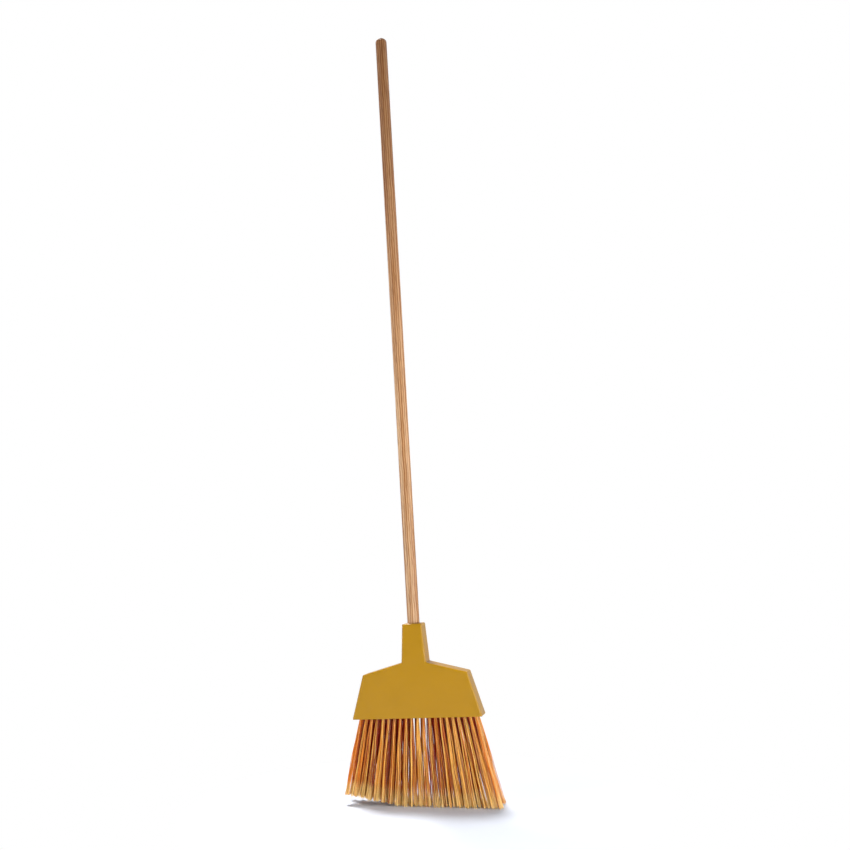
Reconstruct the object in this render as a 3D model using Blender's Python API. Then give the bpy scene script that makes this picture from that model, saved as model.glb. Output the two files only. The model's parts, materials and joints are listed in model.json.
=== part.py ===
"""Angle broom, standing on its bristle tips.

A lacquered hardwood handle screws into the neck of a moulded head cap. A perforated tray clicks into
the cap from below. The bristle tufts pass down through the tray and are fused to a backing that lies in it.

All sizes are in metres. The broom is modelled in its own frame: Z runs up along the handle, X along the
head's width, Y through its depth, with the head's front towards -Y, and the handle's axis meets the floor
at the origin. An empty then leans that frame to the left, so that the right part of the tips stands flat
on the floor.
"""

import math

import bmesh
import bpy
import numpy as np
from mathutils import Vector
from mathutils.geometry import delaunay_2d_cdt

# Clearances and tolerances
SEAT_GAP = 0.0003            # between pieces that rest on or fit into each other
CUT_OVERRUN = 0.004          # how far a cutter runs past the face that it opens
FILL_TOLERANCE = 0.0000001   # points closer than this count as one when a face is filled

# Handle: 48 in by 7/8 in dowel, threaded at its lower end
HANDLE_LENGTH = 1.219
HANDLE_DIAMETER = 0.0222
HANDLE_DOME_HEIGHT = 0.009
HANDLE_SHOULDER_CHAMFER = 0.0008
GRIP_DEPTH = 0.034           # plain shaft inside the neck, above the thread
TENON_LENGTH = 0.030         # threaded end below the handle's shoulder
TENON_END_GAP = 0.0015
TENON_END_CHAMFER = 0.0015
THREAD_DIAMETER = 0.01905    # 3/4 in over the crests
THREAD_PITCH = 0.00508       # five turns to the inch
THREAD_DEPTH = 0.0011
THREAD_RELIEF = 0.0025       # plain groove between thread and shoulder
HANDLE_SIDES = 24
DOME_RINGS = 6
RINGS_PER_THREAD_TURN = 6

# Head cap: flared box with sloping shoulders and a tapered neck
HEAD_WIDTH = 0.2410          # at the lower edge
SIDE_FLARE = 0.0229          # each side leans in by this much up to the shoulder
SHOULDER_HEIGHT = 0.0781
SHOULDER_RISE = 0.0193       # from the shoulder's outer end up to the neck
NECK_SIDE_WALL = 0.0067      # beside the bore, at the neck's top
NECK_FRONT_WALL = 0.0053     # in front of the bore, at the neck's top
NECK_FLARE = 0.0048          # each side of the neck widens by this much down to the shoulders
HEAD_DEPTH_TAPER = 0.0043    # extra depth at the lower edge, against the neck's top
SOCKET_FLOOR = 0.0035        # closes the socket above the level of the junction
EDGE_RADIUS = 0.0016
EDGE_STEPS = 3
CAP_WALL = 0.0025            # front, back and shoulders
CAP_END_WALL = 0.0050        # end walls at the tray, thinning to CAP_WALL at the shoulders
POCKET_CORNER_RADIUS = 0.0030
RIB_COUNT = 6
RIB_THICKNESS = 0.0020
RIB_EMBED = 0.0012           # how far a rib runs into the walls that it joins
SOCKET_SIDES = 48

# Tray that closes the cap, and the snap ridge round it
TRAY_RECESS = 0.0020         # underside above the cap's lower edge
TRAY_FLOOR = 0.0050
TRAY_WALL = 0.0020
SNAP_RIDGE = 0.0006          # how far the ridge stands out
SNAP_RIDGE_HEIGHT = 0.0024
HOLE_SIDES = 10

# Tufts
TUFT_COLUMNS = 21
BACKING_THICKNESS = 0.0025   # fused upper ends of the filaments
ROW_MARGIN = 0.0026          # backing left outside the outer rows
COLUMN_MARGIN = 0.0027       # backing left outside the tufts at its two ends
STRAND_SPACING = 0.00165     # between neighbouring strands at the root
STRAND_RADIUS = 0.00066      # at the root
STRAND_TIP_RADIUS = 0.0012   # each strand stands for a bundle of filaments that opens towards the floor
STRAND_SIDES = 3
RING_STRANDS = 6             # round the middle strand of a tuft
COLUMNS_WITHOUT_BACK_TUFT = (10, 11, 12)
TRIM_LENGTH = 0.1513         # lower edge of the cap to the floor, along the handle's axis
FAN_APEX_HEIGHT = 0.480      # where the tufts' lines meet, above the tray's underside, seen from the front
DEPTH_APEX_HEIGHT = 0.164    # the same, seen from the side
TUFT_SPREAD_WIDTH = 0.0053   # half the width to which a tuft's ring of strands opens at the floor
TUFT_SPREAD_DEPTH = 0.0083
TUFT_TURN = math.radians(137.5)   # each tuft's ring is turned by this much from the one before

# Cut of the tips and stance of the broom
HANDLE_LEAN = math.radians(1.57)         # to the left, so that the square part of the cut lies on the floor
ANGLED_TRIM_START = 0.036                # left of the handle's axis, where the angled part of the cut begins
ANGLED_TRIM_SLOPE = math.radians(10.5)   # of the angled part, against a cut square to the handle

# Colours, in linear red, green and blue
WOOD_COLOUR = (0.45, 0.25, 0.13)
CAP_COLOUR = (0.50, 0.28, 0.02)
TRAY_COLOUR = (0.42, 0.23, 0.02)
BRISTLE_COLOUR = (0.50, 0.22, 0.05)

# Worked out from the sizes above
bore_diameter = HANDLE_DIAMETER + 2 * SEAT_GAP
neck_top_width = bore_diameter + 2 * NECK_SIDE_WALL
neck_base_width = neck_top_width + 2 * NECK_FLARE
neck_top_depth = bore_diameter + 2 * NECK_FRONT_WALL
head_depth = neck_top_depth + HEAD_DEPTH_TAPER
shoulder_width = HEAD_WIDTH - 2 * SIDE_FLARE
socket_depth = GRIP_DEPTH + TENON_LENGTH + TENON_END_GAP
neck_height = socket_depth + SOCKET_FLOOR
junction_height = SHOULDER_HEIGHT + SHOULDER_RISE
head_height = junction_height + neck_height

# Levels above the floor, along the handle's axis
cap_bottom = TRIM_LENGTH
neck_top = cap_bottom + head_height
handle_seat = neck_top - GRIP_DEPTH
tray_bottom = cap_bottom + TRAY_RECESS
tray_floor_top = tray_bottom + TRAY_FLOOR
backing_bottom = tray_floor_top + SEAT_GAP
backing_top = backing_bottom + BACKING_THICKNESS
tray_top = backing_top
rib_bottom = tray_top + SEAT_GAP
cavity_shoulder = cap_bottom + SHOULDER_HEIGHT - CAP_WALL
cavity_top = cap_bottom + junction_height - CAP_WALL


def half_depth(level):
    """Half the cap's depth at a level: the front and back faces are planes that close in towards the neck."""
    share = (level - cap_bottom) / head_height
    return (head_depth + share * (neck_top_depth - head_depth)) / 2


def side_half_width(level):
    """Half the cap's width at a level below the shoulders."""
    return HEAD_WIDTH / 2 - SIDE_FLARE * (level - cap_bottom) / SHOULDER_HEIGHT


# Tray outline, from the cap's walls inwards, and the tufts' places, from the tray's walls inwards
pocket_half_width = side_half_width(tray_top) - CAP_END_WALL
pocket_half_depth = half_depth(tray_top) - CAP_WALL
tray_half_width = pocket_half_width - SEAT_GAP
tray_half_depth = pocket_half_depth - SEAT_GAP
tray_corner_radius = POCKET_CORNER_RADIUS - SEAT_GAP
backing_half_width = tray_half_width - TRAY_WALL - SEAT_GAP
backing_half_depth = tray_half_depth - TRAY_WALL - SEAT_GAP
tuft_radius = STRAND_SPACING + STRAND_RADIUS
backing_pitch = (backing_half_width - COLUMN_MARGIN - tuft_radius) / ((TUFT_COLUMNS - 1) / 2)
backing_row_spacing = backing_half_depth - ROW_MARGIN - tuft_radius
hole_radius = (tuft_radius + SEAT_GAP) / math.cos(math.pi / HOLE_SIDES)

# The same places at the tray's underside, from which the tufts fan out
fan_drop = backing_bottom - tray_bottom
tuft_pitch = backing_pitch * FAN_APEX_HEIGHT / (FAN_APEX_HEIGHT - fan_drop)
row_spacing = backing_row_spacing * DEPTH_APEX_HEIGHT / (DEPTH_APEX_HEIGHT - fan_drop)


def clear_scene():
    """Remove whatever the file holds."""
    for old in list(bpy.data.objects):
        bpy.data.objects.remove(old, do_unlink=True)


def make_material(name, colour, roughness):
    """A Principled BSDF material for one piece."""
    material = bpy.data.materials.new(name)
    material.use_nodes = True
    shader = material.node_tree.nodes["Principled BSDF"]
    shader.inputs["Base Color"].default_value = (*colour, 1.0)
    shader.inputs["Roughness"].default_value = roughness
    shader.inputs["Metallic"].default_value = 0.0
    return material


def make_object(name, points, faces, material=None, parent=None):
    """A mesh object from points and faces, with its faces turned outwards."""
    mesh = bpy.data.meshes.new(name)
    mesh.from_pydata([tuple(point) for point in points], [], [tuple(face) for face in faces])
    work = bmesh.new()
    work.from_mesh(mesh)
    bmesh.ops.recalc_face_normals(work, faces=work.faces)
    work.to_mesh(mesh)
    work.free()
    if material:
        mesh.materials.append(material)
    piece = bpy.data.objects.new(name, mesh)
    bpy.context.scene.collection.objects.link(piece)
    piece.parent = parent
    return piece


def make_cutter(name, points, faces, parent):
    """A guide object for a Boolean, hidden from the model."""
    cutter = make_object(name, points, faces, parent=parent)
    cutter.hide_render = True
    cutter.display_type = "WIRE"
    return cutter


def add_boolean(piece, cutter, operation):
    """Join or cut a piece with a guide object."""
    modifier = piece.modifiers.new(cutter.name, "BOOLEAN")
    modifier.object = cutter
    modifier.operation = operation
    modifier.solver = "EXACT"


def shade_round(piece, angle):
    """Shade a round piece smooth, with edges sharper than the angle left crisp."""
    piece.data.shade_smooth()
    piece.data.set_sharp_from_angle(angle=angle)


def ring_faces(ring_count, sides, first=0):
    """Quads between rings of points that follow each other."""
    faces = []
    for ring in range(ring_count - 1):
        for side in range(sides):
            after = (side + 1) % sides
            low = first + ring * sides
            high = low + sides
            faces.append((low + side, low + after, high + after, high + side))
    return faces


def circle_ring(radius, level, sides, centre=(0, 0), turn=0.0):
    """Points of a ring at one level. The radius is one number or one for each point."""
    angles = turn + np.arange(sides) * 2 * math.pi / sides
    ring = np.empty((sides, 3))
    ring[:, 0] = centre[0] + radius * np.cos(angles)
    ring[:, 1] = centre[1] + radius * np.sin(angles)
    ring[:, 2] = level
    return ring


def rounded_rectangle(half_width, half_rise, radius, level, steps=3):
    """Points of a rectangle with round corners at one level, counter-clockwise."""
    ring = []
    for corner, (side_x, side_y) in enumerate(((1, 1), (-1, 1), (-1, -1), (1, -1))):
        for step in range(steps + 1):
            angle = (corner + step / steps) * math.pi / 2
            x = side_x * (half_width - radius) + radius * math.cos(angle)
            y = side_y * (half_rise - radius) + radius * math.sin(angle)
            ring.append((x, y, level))
    return np.array(ring)


def lies_inside(point, loop):
    """Whether a flat point lies inside a loop: a line to its right then crosses the loop an odd time."""
    inside = False
    for start, end in zip(loop, loop[1:] + loop[:1]):
        if (start.y > point.y) != (end.y > point.y):
            crossing = start.x + (point.y - start.y) * (end.x - start.x) / (end.y - start.y)
            inside = inside != (crossing > point.x)
    return inside


def fill_flat(points, outline, holes):
    """Triangles that fill a flat outline and leave its holes open. All are lists of indices into points."""
    used = outline + [index for hole in holes for index in hole]
    flat = [Vector(points[index][:2]) for index in used]
    place = {index: number for number, index in enumerate(used)}
    loops = [[place[index] for index in loop] for loop in [outline] + holes]
    edges = [(loop[k - 1], loop[k]) for loop in loops for k in range(len(loop))]
    result = delaunay_2d_cdt(flat, edges, [], 1, FILL_TOLERANCE, True)
    shapes = [[flat[index] for index in loop] for loop in loops]
    original = [sources[0] for sources in result[3]]
    triangles = []
    for triangle in result[2]:
        corners = [original[index] for index in triangle]
        middle = sum((flat[index] for index in corners), Vector((0, 0))) / len(corners)
        if lies_inside(middle, shapes[0]) and not any(lies_inside(middle, hole) for hole in shapes[1:]):
            triangles.append([used[index] for index in corners])
    return triangles


# Handle

def thread_radius(level, angles):
    """Radius of the threaded tenon at a level below the shoulder: a round ridge that climbs a pitch a turn."""
    crest = THREAD_DIAMETER / 2
    phase = 2 * math.pi * level / THREAD_PITCH - angles
    start = -TENON_LENGTH + TENON_END_CHAMFER
    stop = -THREAD_RELIEF
    run_in = min(1.0, (level - start) / THREAD_PITCH)
    run_out = min(1.0, (stop - level) / THREAD_PITCH)
    ridge = (1 + np.cos(phase)) / 2 * run_in * run_out
    return crest - THREAD_DEPTH * (1 - ridge)


def handle_shaft(parent):
    """Dowel with a domed top, a chamfered shoulder and a rounded thread. Its origin is at its shoulder."""
    radius = HANDLE_DIAMETER / 2
    root = THREAD_DIAMETER / 2 - THREAD_DEPTH
    top = HANDLE_LENGTH - TENON_LENGTH
    angles = np.arange(HANDLE_SIDES) * 2 * math.pi / HANDLE_SIDES
    thread_start = -TENON_LENGTH + TENON_END_CHAMFER
    thread_stop = -THREAD_RELIEF
    turns = (thread_stop - thread_start) / THREAD_PITCH
    thread_rings = round(turns * RINGS_PER_THREAD_TURN)
    rings = [circle_ring(root - TENON_END_CHAMFER, -TENON_LENGTH, HANDLE_SIDES)]
    for step in range(thread_rings + 1):
        level = thread_start + (thread_stop - thread_start) * step / thread_rings
        rings.append(circle_ring(thread_radius(level, angles), level, HANDLE_SIDES))
    rings.append(circle_ring(root, 0, HANDLE_SIDES))
    rings.append(circle_ring(radius - HANDLE_SHOULDER_CHAMFER, 0, HANDLE_SIDES))
    rings.append(circle_ring(radius, HANDLE_SHOULDER_CHAMFER, HANDLE_SIDES))
    for step in range(DOME_RINGS):
        angle = step / DOME_RINGS * math.pi / 2
        level = top - HANDLE_DOME_HEIGHT * (1 - math.sin(angle))
        rings.append(circle_ring(radius * math.cos(angle), level, HANDLE_SIDES))
    points = np.vstack(rings + [np.array([(0, 0, top)])])
    faces = ring_faces(len(rings), HANDLE_SIDES)
    faces.append(range(HANDLE_SIDES))
    last = (len(rings) - 1) * HANDLE_SIDES
    pole = len(points) - 1
    for side in range(HANDLE_SIDES):
        faces.append((last + side, last + (side + 1) % HANDLE_SIDES, pole))
    wood = make_material("lacquered_wood", WOOD_COLOUR, 0.35)
    handle = make_object("handle_shaft", points, faces, wood, parent)
    handle.location.z = handle_seat
    shade_round(handle, math.radians(50))
    return handle


# Head cap

def cap_outer(parent):
    """Outer body: the house-shaped outline, with front and back faces that close in towards the neck."""
    levels = {
        "bottom": cap_bottom,
        "shoulder": cap_bottom + SHOULDER_HEIGHT,
        "junction": cap_bottom + junction_height,
        "top": neck_top,
    }
    right = [
        (HEAD_WIDTH / 2, levels["bottom"]),
        (shoulder_width / 2, levels["shoulder"]),
        (neck_base_width / 2, levels["junction"]),
        (neck_top_width / 2, levels["top"]),
    ]
    outline = right + [(-x, z) for x, z in reversed(right)]
    front = [(x, -half_depth(z), z) for x, z in outline]
    back = [(x, half_depth(z), z) for x, z in outline]
    count = len(outline)
    faces = [range(count), range(count, 2 * count)]
    for k in range(count):
        after = (k + 1) % count
        faces.append((k, after, count + after, count + k))
    plastic = make_material("mustard_plastic", CAP_COLOUR, 0.4)
    cap = make_object("head_cap", front + back, faces, plastic, parent)
    bevel = cap.modifiers.new("edge_radius", "BEVEL")
    bevel.width = EDGE_RADIUS
    bevel.segments = EDGE_STEPS
    bevel.limit_method = "ANGLE"
    bevel.angle_limit = math.radians(3)
    return cap


def snap_levels(bottom):
    """Levels of the snap ridge on an outline that starts at bottom, with how far each stands out."""
    middle = bottom + (tray_top - tray_bottom) / 2
    half = SNAP_RIDGE_HEIGHT / 2
    return [(middle - half, 0), (middle, SNAP_RIDGE), (middle + half, 0)]


def cavity_cutter(parent):
    """Inside of the cap: the tray's pocket with its groove, then walls that follow the outside up."""
    steps = [(cap_bottom - CUT_OVERRUN, pocket_half_width, pocket_half_depth)]
    for level, out in snap_levels(tray_bottom):
        steps.append((level, pocket_half_width + out, pocket_half_depth + out))
    steps.append((rib_bottom, pocket_half_width, pocket_half_depth))
    shoulder_half = shoulder_width / 2 - CAP_WALL
    steps.append((cavity_shoulder, shoulder_half, half_depth(cavity_shoulder) - CAP_WALL))
    steps.append((cavity_top, neck_base_width / 2, half_depth(cavity_top) - CAP_WALL))
    rings = [rounded_rectangle(x, y, POCKET_CORNER_RADIUS, z) for z, x, y in steps]
    sides = len(rings[0])
    points = np.vstack(rings)
    faces = ring_faces(len(rings), sides)
    faces.append(range(sides))
    faces.append(range((len(rings) - 1) * sides, len(rings) * sides))
    return make_cutter("cavity_cutter", points, faces, parent)


def roof_level(x):
    """Level of the cavity's roof over a point at x."""
    shoulder_half = shoulder_width / 2 - CAP_WALL
    run = (abs(x) - neck_base_width / 2) / (shoulder_half - neck_base_width / 2)
    return cavity_top + (cavity_shoulder - cavity_top) * min(max(run, 0), 1)


def hold_down_ribs(parent):
    """Cross ribs from the cap's front wall to its back wall, which bear on the tray and the backing."""
    spacing = 2 * pocket_half_width / (RIB_COUNT + 1)
    points = []
    faces = []
    for number in range(RIB_COUNT):
        middle = (number - (RIB_COUNT - 1) / 2) * spacing
        top = roof_level(middle) + RIB_EMBED
        low_y = half_depth(rib_bottom) - CAP_WALL + RIB_EMBED
        high_y = half_depth(top) - CAP_WALL + RIB_EMBED
        first = len(points)
        for x in (middle - RIB_THICKNESS / 2, middle + RIB_THICKNESS / 2):
            points += [(x, -low_y, rib_bottom), (x, low_y, rib_bottom), (x, high_y, top), (x, -high_y, top)]
        faces += [[first + k for k in (0, 1, 2, 3)], [first + k for k in (4, 5, 6, 7)]]
        faces += [[first + k for k in (n, (n + 1) % 4, 4 + (n + 1) % 4, 4 + n)] for n in range(4)]
    return make_cutter("hold_down_ribs", points, faces, parent)


def socket_cutter(parent):
    """Stepped bore down the neck: wide for the shaft, narrower for the thread."""
    wide = bore_diameter / 2
    narrow = THREAD_DIAMETER / 2 + SEAT_GAP
    step = handle_seat - SEAT_GAP
    floor = neck_top - socket_depth
    profile = [(narrow, floor), (narrow, step), (wide, step), (wide, neck_top + CUT_OVERRUN)]
    rings = [circle_ring(radius, level, SOCKET_SIDES) for radius, level in profile]
    points = np.vstack(rings)
    faces = ring_faces(len(rings), SOCKET_SIDES)
    faces.append(range(SOCKET_SIDES))
    faces.append(range((len(rings) - 1) * SOCKET_SIDES, len(rings) * SOCKET_SIDES))
    return make_cutter("socket_cutter", points, faces, parent)


def head_cap(parent):
    """Moulded cap: the outer body hollowed from below and ribbed, with the handle's socket down its neck."""
    cap = cap_outer(parent)
    add_boolean(cap, cavity_cutter(parent), "DIFFERENCE")
    add_boolean(cap, hold_down_ribs(parent), "UNION")
    add_boolean(cap, socket_cutter(parent), "DIFFERENCE")
    shade_round(cap, math.radians(35))
    return cap


# Tufts

def tufts_of_column(column):
    """Places of a column's tufts at the tray's underside: front, middle and back."""
    x = (column - (TUFT_COLUMNS + 1) / 2) * tuft_pitch
    tufts = [(x, -row_spacing)]
    if column < TUFT_COLUMNS:
        tufts.append((x + tuft_pitch / 2, 0))
    if column not in COLUMNS_WITHOUT_BACK_TUFT:
        tufts.append((x, row_spacing))
    return tufts


def fan_point(x, y, drop):
    """Where a tuft's line through (x, y) at the tray's underside passes, a drop below it."""
    return x * (1 + drop / FAN_APEX_HEIGHT), y * (1 + drop / DEPTH_APEX_HEIGHT)


def cut_level(x, run):
    """Level at which a strand's edge is cut: on the floor once the broom leans, or on the rising cut.

    The edge moves by run for each unit that it goes down, and would be at x at the level of the origin.
    """
    square = math.tan(HANDLE_LEAN)
    angled = math.tan(ANGLED_TRIM_SLOPE)
    on_floor = -square * x / (1 - square * run)
    on_slope = -(angled * x + (angled - square) * ANGLED_TRIM_START) / (1 - angled * run)
    return np.maximum(on_floor, on_slope)


def strand_rings(tuft_x, tuft_y, ring_angle, ring_share):
    """Rings of one strand: at the backing, at the tray's underside and at the cut tip."""
    corner = ring_angle + np.arange(STRAND_SIDES) * 2 * math.pi / STRAND_SIDES
    corner_x = np.cos(corner)
    corner_y = np.sin(corner)
    side_x = ring_share * math.cos(ring_angle)
    side_y = ring_share * math.sin(ring_angle)
    rings = []
    for level in (backing_bottom, tray_bottom):
        x, y = fan_point(tuft_x, tuft_y, tray_bottom - level)
        ring_x = x + side_x * STRAND_SPACING + corner_x * STRAND_RADIUS
        ring_y = y + side_y * STRAND_SPACING + corner_y * STRAND_RADIUS
        rings.append(np.column_stack([ring_x, ring_y, np.full(STRAND_SIDES, level)]))
    # From the tray down, each edge is a straight line. It ends where it meets the cut.
    floor_x, floor_y = fan_point(tuft_x, tuft_y, tray_bottom)
    tip_x = floor_x + side_x * TUFT_SPREAD_WIDTH + corner_x * STRAND_TIP_RADIUS
    tip_y = floor_y + side_y * TUFT_SPREAD_DEPTH + corner_y * STRAND_TIP_RADIUS
    run_x = (tip_x - ring_x) / tray_bottom
    run_y = (tip_y - ring_y) / tray_bottom
    level = cut_level(tip_x, run_x)
    rings.append(np.column_stack([tip_x - run_x * level, tip_y - run_y * level, level]))
    return np.vstack(rings)


def stepped_side(x, half_step):
    """A slice's side: at x beside the outer rows' tufts, and half a pitch further on beside the middle row's."""
    middle_x = x + backing_pitch / 2
    return [
        (x, -backing_half_depth),
        (x, -half_step),
        (middle_x, -half_step),
        (middle_x, half_step),
        (x, half_step),
        (x, backing_half_depth),
    ]


def slice_outline(column):
    """Corners of a column's slice of the backing, whose sides step halfway between neighbouring tufts."""
    x = (column - (TUFT_COLUMNS + 1) / 2) * backing_pitch
    half_gap = SEAT_GAP / 2
    half_row = backing_row_spacing / 2
    right = stepped_side(x + backing_pitch / 2 - half_gap, half_row - half_gap)
    left = stepped_side(x - backing_pitch / 2 + half_gap, half_row + half_gap)
    if column == TUFT_COLUMNS:
        right = [(backing_half_width, side * backing_half_depth) for side in (-1, 1)]
    if column == 1:
        left = [(-backing_half_width, side * backing_half_depth) for side in (-1, 1)]
    return right + left[::-1]


def tuft_column(column, material, parent):
    """A slice of the fused backing with the strands of its tufts, as one body."""
    outline = slice_outline(column)
    corners = len(outline)
    points = [(x, y, backing_top) for x, y in outline]
    points += [(x, y, backing_bottom) for x, y in outline]
    faces = fill_flat(points, list(range(corners)), []) + ring_faces(2, corners)
    roots = []
    for row, (tuft_x, tuft_y) in enumerate(tufts_of_column(column)):
        turn = (column * 3 + row) * TUFT_TURN
        for strand in range(RING_STRANDS + 1):
            angle = turn + strand * 2 * math.pi / RING_STRANDS
            share = 0 if strand == RING_STRANDS else 1
            first = len(points)
            points += strand_rings(tuft_x, tuft_y, angle, share).tolist()
            after = len(points)
            faces += ring_faces((after - first) // STRAND_SIDES, STRAND_SIDES, first)
            faces.append(range(after - STRAND_SIDES, after))
            roots.append(list(range(first, first + STRAND_SIDES)))
    faces += fill_flat(points, list(range(corners, 2 * corners)), roots)
    return make_object(f"tuft_column_{column:02d}", points, faces, material, parent)


def tuft_tray(parent):
    """Perforated tray: a floor with a slanted hole for each tuft, a rim, and the snap ridge round it."""
    levels = [(tray_bottom, 0)] + snap_levels(tray_bottom) + [(tray_top, 0)]
    rings = []
    for level, out in levels:
        radius = tray_corner_radius + out
        rings.append(rounded_rectangle(tray_half_width + out, tray_half_depth + out, radius, level))
    inner_x = tray_half_width - TRAY_WALL
    inner_y = tray_half_depth - TRAY_WALL
    inner_radius = tray_corner_radius - TRAY_WALL
    rings.append(rounded_rectangle(inner_x, inner_y, inner_radius, tray_top))
    rings.append(rounded_rectangle(inner_x, inner_y, inner_radius, tray_floor_top))
    sides = len(rings[0])
    points = np.vstack(rings).tolist()
    faces = ring_faces(len(rings), sides)
    lower_holes = []
    upper_holes = []
    for column in range(1, TUFT_COLUMNS + 1):
        for x, y in tufts_of_column(column):
            first = len(points)
            upper = fan_point(x, y, tray_bottom - tray_floor_top)
            points += circle_ring(hole_radius, tray_bottom, HOLE_SIDES, (x, y)).tolist()
            points += circle_ring(hole_radius, tray_floor_top, HOLE_SIDES, upper).tolist()
            faces += ring_faces(2, HOLE_SIDES, first)
            lower_holes.append(list(range(first, first + HOLE_SIDES)))
            upper_holes.append(list(range(first + HOLE_SIDES, first + 2 * HOLE_SIDES)))
    last = (len(rings) - 1) * sides
    faces += fill_flat(points, list(range(sides)), lower_holes)
    faces += fill_flat(points, list(range(last, last + sides)), upper_holes)
    plastic = make_material("tray_plastic", TRAY_COLOUR, 0.5)
    return make_object("tuft_tray", points, faces, plastic, parent)


def stand_on_floor(axis, pieces):
    """Lean the broom and shift it sideways, so that the middle of its outline stands over the origin."""
    axis.rotation_euler.y = -HANDLE_LEAN
    bpy.context.view_layer.update()
    xs = [(piece.matrix_world @ vertex.co).x for piece in pieces for vertex in piece.data.vertices]
    axis.location.x = -(min(xs) + max(xs)) / 2


def build():
    clear_scene()
    axis = bpy.data.objects.new("broom_axis", None)
    bpy.context.scene.collection.objects.link(axis)
    pieces = [handle_shaft(axis), head_cap(axis), tuft_tray(axis)]
    bristle = make_material("bristle_filament", BRISTLE_COLOUR, 0.5)
    for column in range(1, TUFT_COLUMNS + 1):
        pieces.append(tuft_column(column, bristle, axis))
    stand_on_floor(axis, pieces)


build()
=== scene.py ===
import json
import math

import bpy
import numpy as np
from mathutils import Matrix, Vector


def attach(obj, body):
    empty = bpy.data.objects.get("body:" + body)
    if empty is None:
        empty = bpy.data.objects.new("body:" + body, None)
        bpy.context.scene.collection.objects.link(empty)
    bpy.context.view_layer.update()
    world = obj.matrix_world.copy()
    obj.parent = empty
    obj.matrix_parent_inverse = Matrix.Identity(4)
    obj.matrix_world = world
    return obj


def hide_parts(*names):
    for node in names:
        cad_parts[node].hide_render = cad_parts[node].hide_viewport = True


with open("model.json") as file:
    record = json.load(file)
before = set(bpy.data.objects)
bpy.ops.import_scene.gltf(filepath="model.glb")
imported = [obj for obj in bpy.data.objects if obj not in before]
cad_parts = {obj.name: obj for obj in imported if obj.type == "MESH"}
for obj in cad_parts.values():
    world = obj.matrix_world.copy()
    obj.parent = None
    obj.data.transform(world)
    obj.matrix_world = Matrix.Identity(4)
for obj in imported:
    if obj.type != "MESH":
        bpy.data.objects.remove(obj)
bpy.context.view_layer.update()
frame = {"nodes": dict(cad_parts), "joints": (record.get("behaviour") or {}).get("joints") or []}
print("frame:", len(frame["nodes"]), "CAD nodes")


# The broom's own frame: upright, Z along the handle, and level 0 where the handle's axis meets the floor.
# The CAD model leans this frame to the left by the joint's axis.

def nodePoints(name):
    # corner points of a CAD node, one row each
    mesh = frame["nodes"][name].data
    points = np.empty(3 * len(mesh.vertices))
    mesh.vertices.foreach_get("co", points)
    return points.reshape(-1, 3)


jointAxis = frame["joints"][0]["axis"]
lean = math.atan2(-jointAxis[0], jointAxis[2])
# the mean of a turned piece's points lies on its axis
axisPoint = np.unique(nodePoints("handle_shaft").round(6), axis=0).mean(axis=0)
axisFoot = axisPoint[0] + math.tan(lean) * axisPoint[2]


def toWorld(points):
    # upright to world: a turn by minus the lean about Y, then a shift along X to the axis's foot
    x, y, z = np.moveaxis(np.asarray(points, float), -1, 0)
    worldX = x * math.cos(lean) - z * math.sin(lean) + axisFoot
    worldZ = x * math.sin(lean) + z * math.cos(lean)
    return np.stack([worldX, y, worldZ], axis=-1)


def uprightBox(name):
    # a CAD node's lowest and highest corner in the upright frame: the same turn and shift, the other way round
    x, y, z = nodePoints(name).T
    x = x - axisFoot
    points = np.stack([x * math.cos(lean) + z * math.sin(lean), y, z * math.cos(lean) - x * math.sin(lean)])
    return points.min(axis=1), points.max(axis=1)


# Small tools for meshes

def gridQuads(rows, sides):
    # quads between closed rings: corner (row, side) is point row * sides + side
    corner = np.arange(rows * sides).reshape(rows, sides)
    after = np.roll(corner, -1, axis=1)
    return np.stack([corner[:-1], after[:-1], after[1:], corner[1:]], axis=-1).reshape(-1, 4)


def closedFaces(rows, sides):
    # the same quads, with a flat face across the first ring and one across the last
    corners = np.arange(rows * sides).reshape(rows, sides).tolist()
    return [*gridQuads(rows, sides).tolist(), corners[0][::-1], corners[-1]]


def makePiece(name, points, faces, materials, body, replaced, smoothAngle):
    # a mesh from upright points, shaded smooth where its faces meet at less than smoothAngle
    mesh = bpy.data.meshes.new(name)
    mesh.from_pydata(toWorld(points).tolist(), [], faces)
    for material in materials:
        mesh.materials.append(material)
    mesh.shade_smooth()
    mesh.set_sharp_from_angle(angle=smoothAngle)
    piece = bpy.data.objects.new(name, mesh)
    bpy.context.scene.collection.objects.link(piece)
    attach(piece, body)
    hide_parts(*replaced)
    return piece


# Small tools for materials

def hexColour(code):
    # sRGB to linear: a straight line up to 0.04045, above it a power of 2.4
    value = np.array([int(code[k:k + 2], 16) for k in (1, 3, 5)]) / 255
    linear = np.where(value <= 0.04045, value / 12.92, ((value + 0.055) / 1.055) ** 2.4)
    return (*linear.tolist(), 1.0)


def newMaterial(name):
    # an empty Principled material, with its shader
    material = bpy.data.materials.new(name)
    material.use_nodes = True
    return material, material.node_tree.nodes["Principled BSDF"]


def addNode(material, kind, settings, links):
    # a node with its settings, which are sockets, the node's own properties or a ramp's stops, and its links
    node = material.node_tree.nodes.new(kind)
    for key, value in settings.items():
        if key == "stops":     # place and sRGB hex colour of each
            elements = node.color_ramp.elements
            while len(elements) < len(value):
                elements.new(1.0)
            for element, (place, code) in zip(elements, value):
                element.position = place
                element.color = hexColour(code)
        elif isinstance(key, int) or key in node.inputs:
            node.inputs[key].default_value = value
        else:
            setattr(node, key, value)
    for key, source in links.items():
        material.node_tree.links.new(source, node.inputs[key])
    return node


# Camera: a plain view from the front and a little to the right, matched to the photograph

cameraView = {
    "place": (0.41837, -1.74868, 0.42737),
    "turn": (98.1196, 1.8371, 13.0252),   # degrees about X, Y and Z
    "lens": 40.765,                       # mm
    "sensor": 36.0,                       # mm wide
}

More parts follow.
